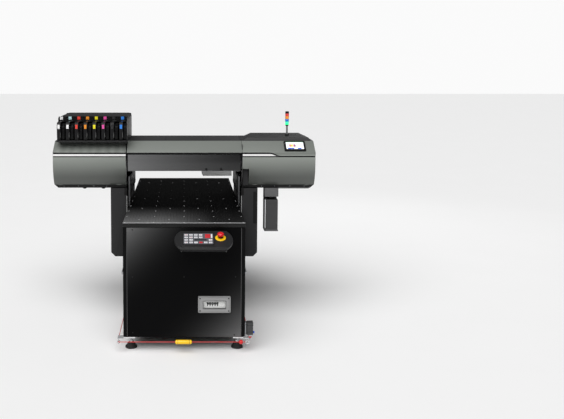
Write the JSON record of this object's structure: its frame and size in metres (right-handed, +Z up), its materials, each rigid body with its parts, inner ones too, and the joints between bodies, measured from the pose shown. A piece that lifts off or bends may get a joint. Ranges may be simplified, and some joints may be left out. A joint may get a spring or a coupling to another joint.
{
  "type": "flatbed inkjet printer",
  "caption": "Flatbed UV inkjet printer with a vacuum table, a travelling print unit on side plates, an ink tower, a console and a trip rope.",
  "frame": {"origin": "on the floor under the middle of the machine's bounding box", "axes": "+Z up, +Y from the operator's end towards the rear along the table, +X to the operator's right along the print unit"},
  "size_m": [2.012, 2.2316, 1.575],
  "materials": {
    "frame_black": "satin black powder coat",
    "panel_black": "satin black paint",
    "side_black": "satin black paint",
    "bed_black": "black anodised, finely grooved",
    "zinc_steel": "zinc-plated sheet",
    "blower_grey": "grey casting",
    "rail_steel": "ground steel",
    "bracket_black": "black paint",
    "console_black": "fine-grained moulding",
    "screen_glass": "backlit display behind glass",
    "safety_yellow": "gloss yellow",
    "breaker_grey": "light grey moulding",
    "module_grey": "pale grey moulding",
    "rope_red": "red plastic sheath over steel rope",
    "chrome_fittings": "bright plated",
    "knob_red": "gloss red",
    "switch_black": "black moulding",
    "screw_steel": "zinc-plated screws",
    "inlet_grey": "grey moulding",
    "door_clear": "clear smoked flap",
    "reset_blue": "gloss blue",
    "foot_steel": "black oxide",
    "beam_aluminium": "anodised extrusion",
    "plate_aluminium": "machined plate",
    "leg_black": "satin black paint",
    "cover_grey": "metallic warm grey",
    "tray_black": "satin black paint",
    "trim_white": "gloss white",
    "station_grey": "grey moulding",
    "tower_black": "black moulding",
    "signal_lens": "stacked coloured lenses",
    "window_smoked": "dark smoked acrylic",
    "carriage_grey": "mid grey paint",
    "head_steel": "steel",
    "bottle_black": "dark grey moulding",
    "drawer_black": "black moulding"
  },
  "bodies": {
    "root": {"base_frame": "frame_black", "front_panel": "panel_black", "rear_panel": "panel_black", "side_panels": "side_black", "bed_plate": "bed_black", "vacuum_plenum": "zinc_steel", "vacuum_blower": "blower_grey", "y_rails": "rail_steel", "console_bracket": "bracket_black", "console_housing": "console_black", "console_screen": "screen_glass", "estop_collar": "safety_yellow", "breaker_box": "breaker_grey", "breaker_modules": "module_grey", "trip_rope": "rope_red", "rope_fittings": "chrome_fittings", "rope_marker": "safety_yellow", "rope_ball": "knob_red", "rope_switch_body": "switch_black", "rope_switch_boot": "knob_red", "panel_screws": "screw_steel", "power_inlet": "inlet_grey", "control_box": "zinc_steel"},
    "estop_knob": {"estop_knob": "knob_red"},
    "breaker_door": {"breaker_door": "door_clear"},
    "breaker_handle": {"breaker_handle": "switch_black"},
    "rope_switch_reset": {"rope_switch_reset": "reset_blue"},
    "foot_front_left": {"foot_front_left": "foot_steel"},
    "foot_front_right": {"foot_front_right": "foot_steel"},
    "foot_rear_left": {"foot_rear_left": "foot_steel"},
    "foot_rear_right": {"foot_rear_right": "foot_steel"},
    "y_carriage": {"y_carriages": "zinc_steel"},
    "print_unit": {"gantry_beam": "beam_aluminium", "x_drive": "rail_steel", "side_plates": "plate_aluminium", "leg_covers": "leg_black", "left_housing": "cover_grey", "right_housing": "cover_grey", "center_cover": "cover_grey", "bottom_trays": "tray_black", "trim_stripes": "trim_white", "maintenance_station": "station_grey", "ink_tower_shell": "tower_black", "signal_tower": "signal_lens", "touch_screen": "screen_glass"},
    "window": {"window": "window_smoked"},
    "left_front_cover": {"left_front_cover": "cover_grey"},
    "right_front_cover": {"right_front_cover": "cover_grey"},
    "carriage": {"carriage_body": "carriage_grey", "print_heads": "head_steel"},
    "waste_bottle": {"waste_bottle": "bottle_black"},
    "ink_drawer_1": {"ink_drawer_1": "drawer_black"},
    "ink_drawer_2": {"ink_drawer_2": "drawer_black"},
    "ink_drawer_3": {"ink_drawer_3": "drawer_black"},
    "ink_drawer_4": {"ink_drawer_4": "drawer_black"},
    "ink_drawer_5": {"ink_drawer_5": "drawer_black"},
    "ink_drawer_6": {"ink_drawer_6": "drawer_black"},
    "ink_drawer_7": {"ink_drawer_7": "drawer_black"},
    "ink_drawer_8": {"ink_drawer_8": "drawer_black"}
  },
  "joints": [
    {"name": "gantry_travel", "type": "slide", "parent": "root", "child": "y_carriage", "axis": [0, 1, 0], "range_m": [-0.85, 0.45]},
    {"name": "gantry_lift", "type": "slide", "parent": "y_carriage", "child": "print_unit", "axis": [0, 0, 1], "range_m": [-0.19, 0]},
    {"name": "carriage_travel", "type": "slide", "parent": "print_unit", "child": "carriage", "axis": [1, 0, 0], "range_m": [-0.83, 0.44]},
    {"name": "window_hinge", "type": "hinge", "parent": "print_unit", "child": "window", "pos_m": [0, -0.17, 1.262], "axis": [-1, 0, 0], "range_deg": [0, 95]},
    {"name": "left_cover_hinge", "type": "hinge", "parent": "print_unit", "child": "left_front_cover", "pos_m": [-0.726, -0.169, 1.24], "axis": [-1, 0, 0], "range_deg": [0, 70]},
    {"name": "right_cover_hinge", "type": "hinge", "parent": "print_unit", "child": "right_front_cover", "pos_m": [0.726, -0.169, 1.24], "axis": [-1, 0, 0], "range_deg": [0, 70]},
    {"name": "waste_bottle_slide", "type": "slide", "parent": "print_unit", "child": "waste_bottle", "axis": [0, -1, 0], "range_m": [0, 0.12]},
    {"name": "estop_press", "type": "slide", "parent": "root", "child": "estop_knob", "axis": [0, 0.3731, -0.9278], "range_m": [0, 0.005], "stiffness_N_per_m": 1500},
    {"name": "breaker_door_hinge", "type": "hinge", "parent": "root", "child": "breaker_door", "pos_m": [0.2065, -0.924, 0.352], "axis": [-1, 0, 0], "range_deg": [0, 85]},
    {"name": "breaker_handle_pivot", "type": "hinge", "parent": "root", "child": "breaker_handle", "pos_m": [0.19375, -0.902, 0.328], "axis": [1, 0, 0], "range_deg": [0, 50]},
    {"name": "rope_switch_reset_press", "type": "slide", "parent": "root", "child": "rope_switch_reset", "axis": [-1, 0, 0], "range_m": [0, 0.004], "stiffness_N_per_m": 400},
    {"name": "foot_front_left_adjust", "type": "slide", "parent": "root", "child": "foot_front_left", "axis": [0, 0, -1], "range_m": [0, 0.02]},
    {"name": "foot_front_right_adjust", "type": "slide", "parent": "root", "child": "foot_front_right", "axis": [0, 0, -1], "range_m": [0, 0.02]},
    {"name": "foot_rear_left_adjust", "type": "slide", "parent": "root", "child": "foot_rear_left", "axis": [0, 0, -1], "range_m": [0, 0.02]},
    {"name": "foot_rear_right_adjust", "type": "slide", "parent": "root", "child": "foot_rear_right", "axis": [0, 0, -1], "range_m": [0, 0.02]},
    {"name": "ink_drawer_1_slide", "type": "slide", "parent": "print_unit", "child": "ink_drawer_1", "axis": [0, -1, 0], "range_m": [0, 0.12]},
    {"name": "ink_drawer_2_slide", "type": "slide", "parent": "print_unit", "child": "ink_drawer_2", "axis": [0, -1, 0], "range_m": [0, 0.12]},
    {"name": "ink_drawer_3_slide", "type": "slide", "parent": "print_unit", "child": "ink_drawer_3", "axis": [0, -1, 0], "range_m": [0, 0.12]},
    {"name": "ink_drawer_4_slide", "type": "slide", "parent": "print_unit", "child": "ink_drawer_4", "axis": [0, -1, 0], "range_m": [0, 0.12]},
    {"name": "ink_drawer_5_slide", "type": "slide", "parent": "print_unit", "child": "ink_drawer_5", "axis": [0, -1, 0], "range_m": [0, 0.12]},
    {"name": "ink_drawer_6_slide", "type": "slide", "parent": "print_unit", "child": "ink_drawer_6", "axis": [0, -1, 0], "range_m": [0, 0.12]},
    {"name": "ink_drawer_7_slide", "type": "slide", "parent": "print_unit", "child": "ink_drawer_7", "axis": [0, -1, 0], "range_m": [0, 0.12]},
    {"name": "ink_drawer_8_slide", "type": "slide", "parent": "print_unit", "child": "ink_drawer_8", "axis": [0, -1, 0], "range_m": [0, 0.12]}
  ]
}
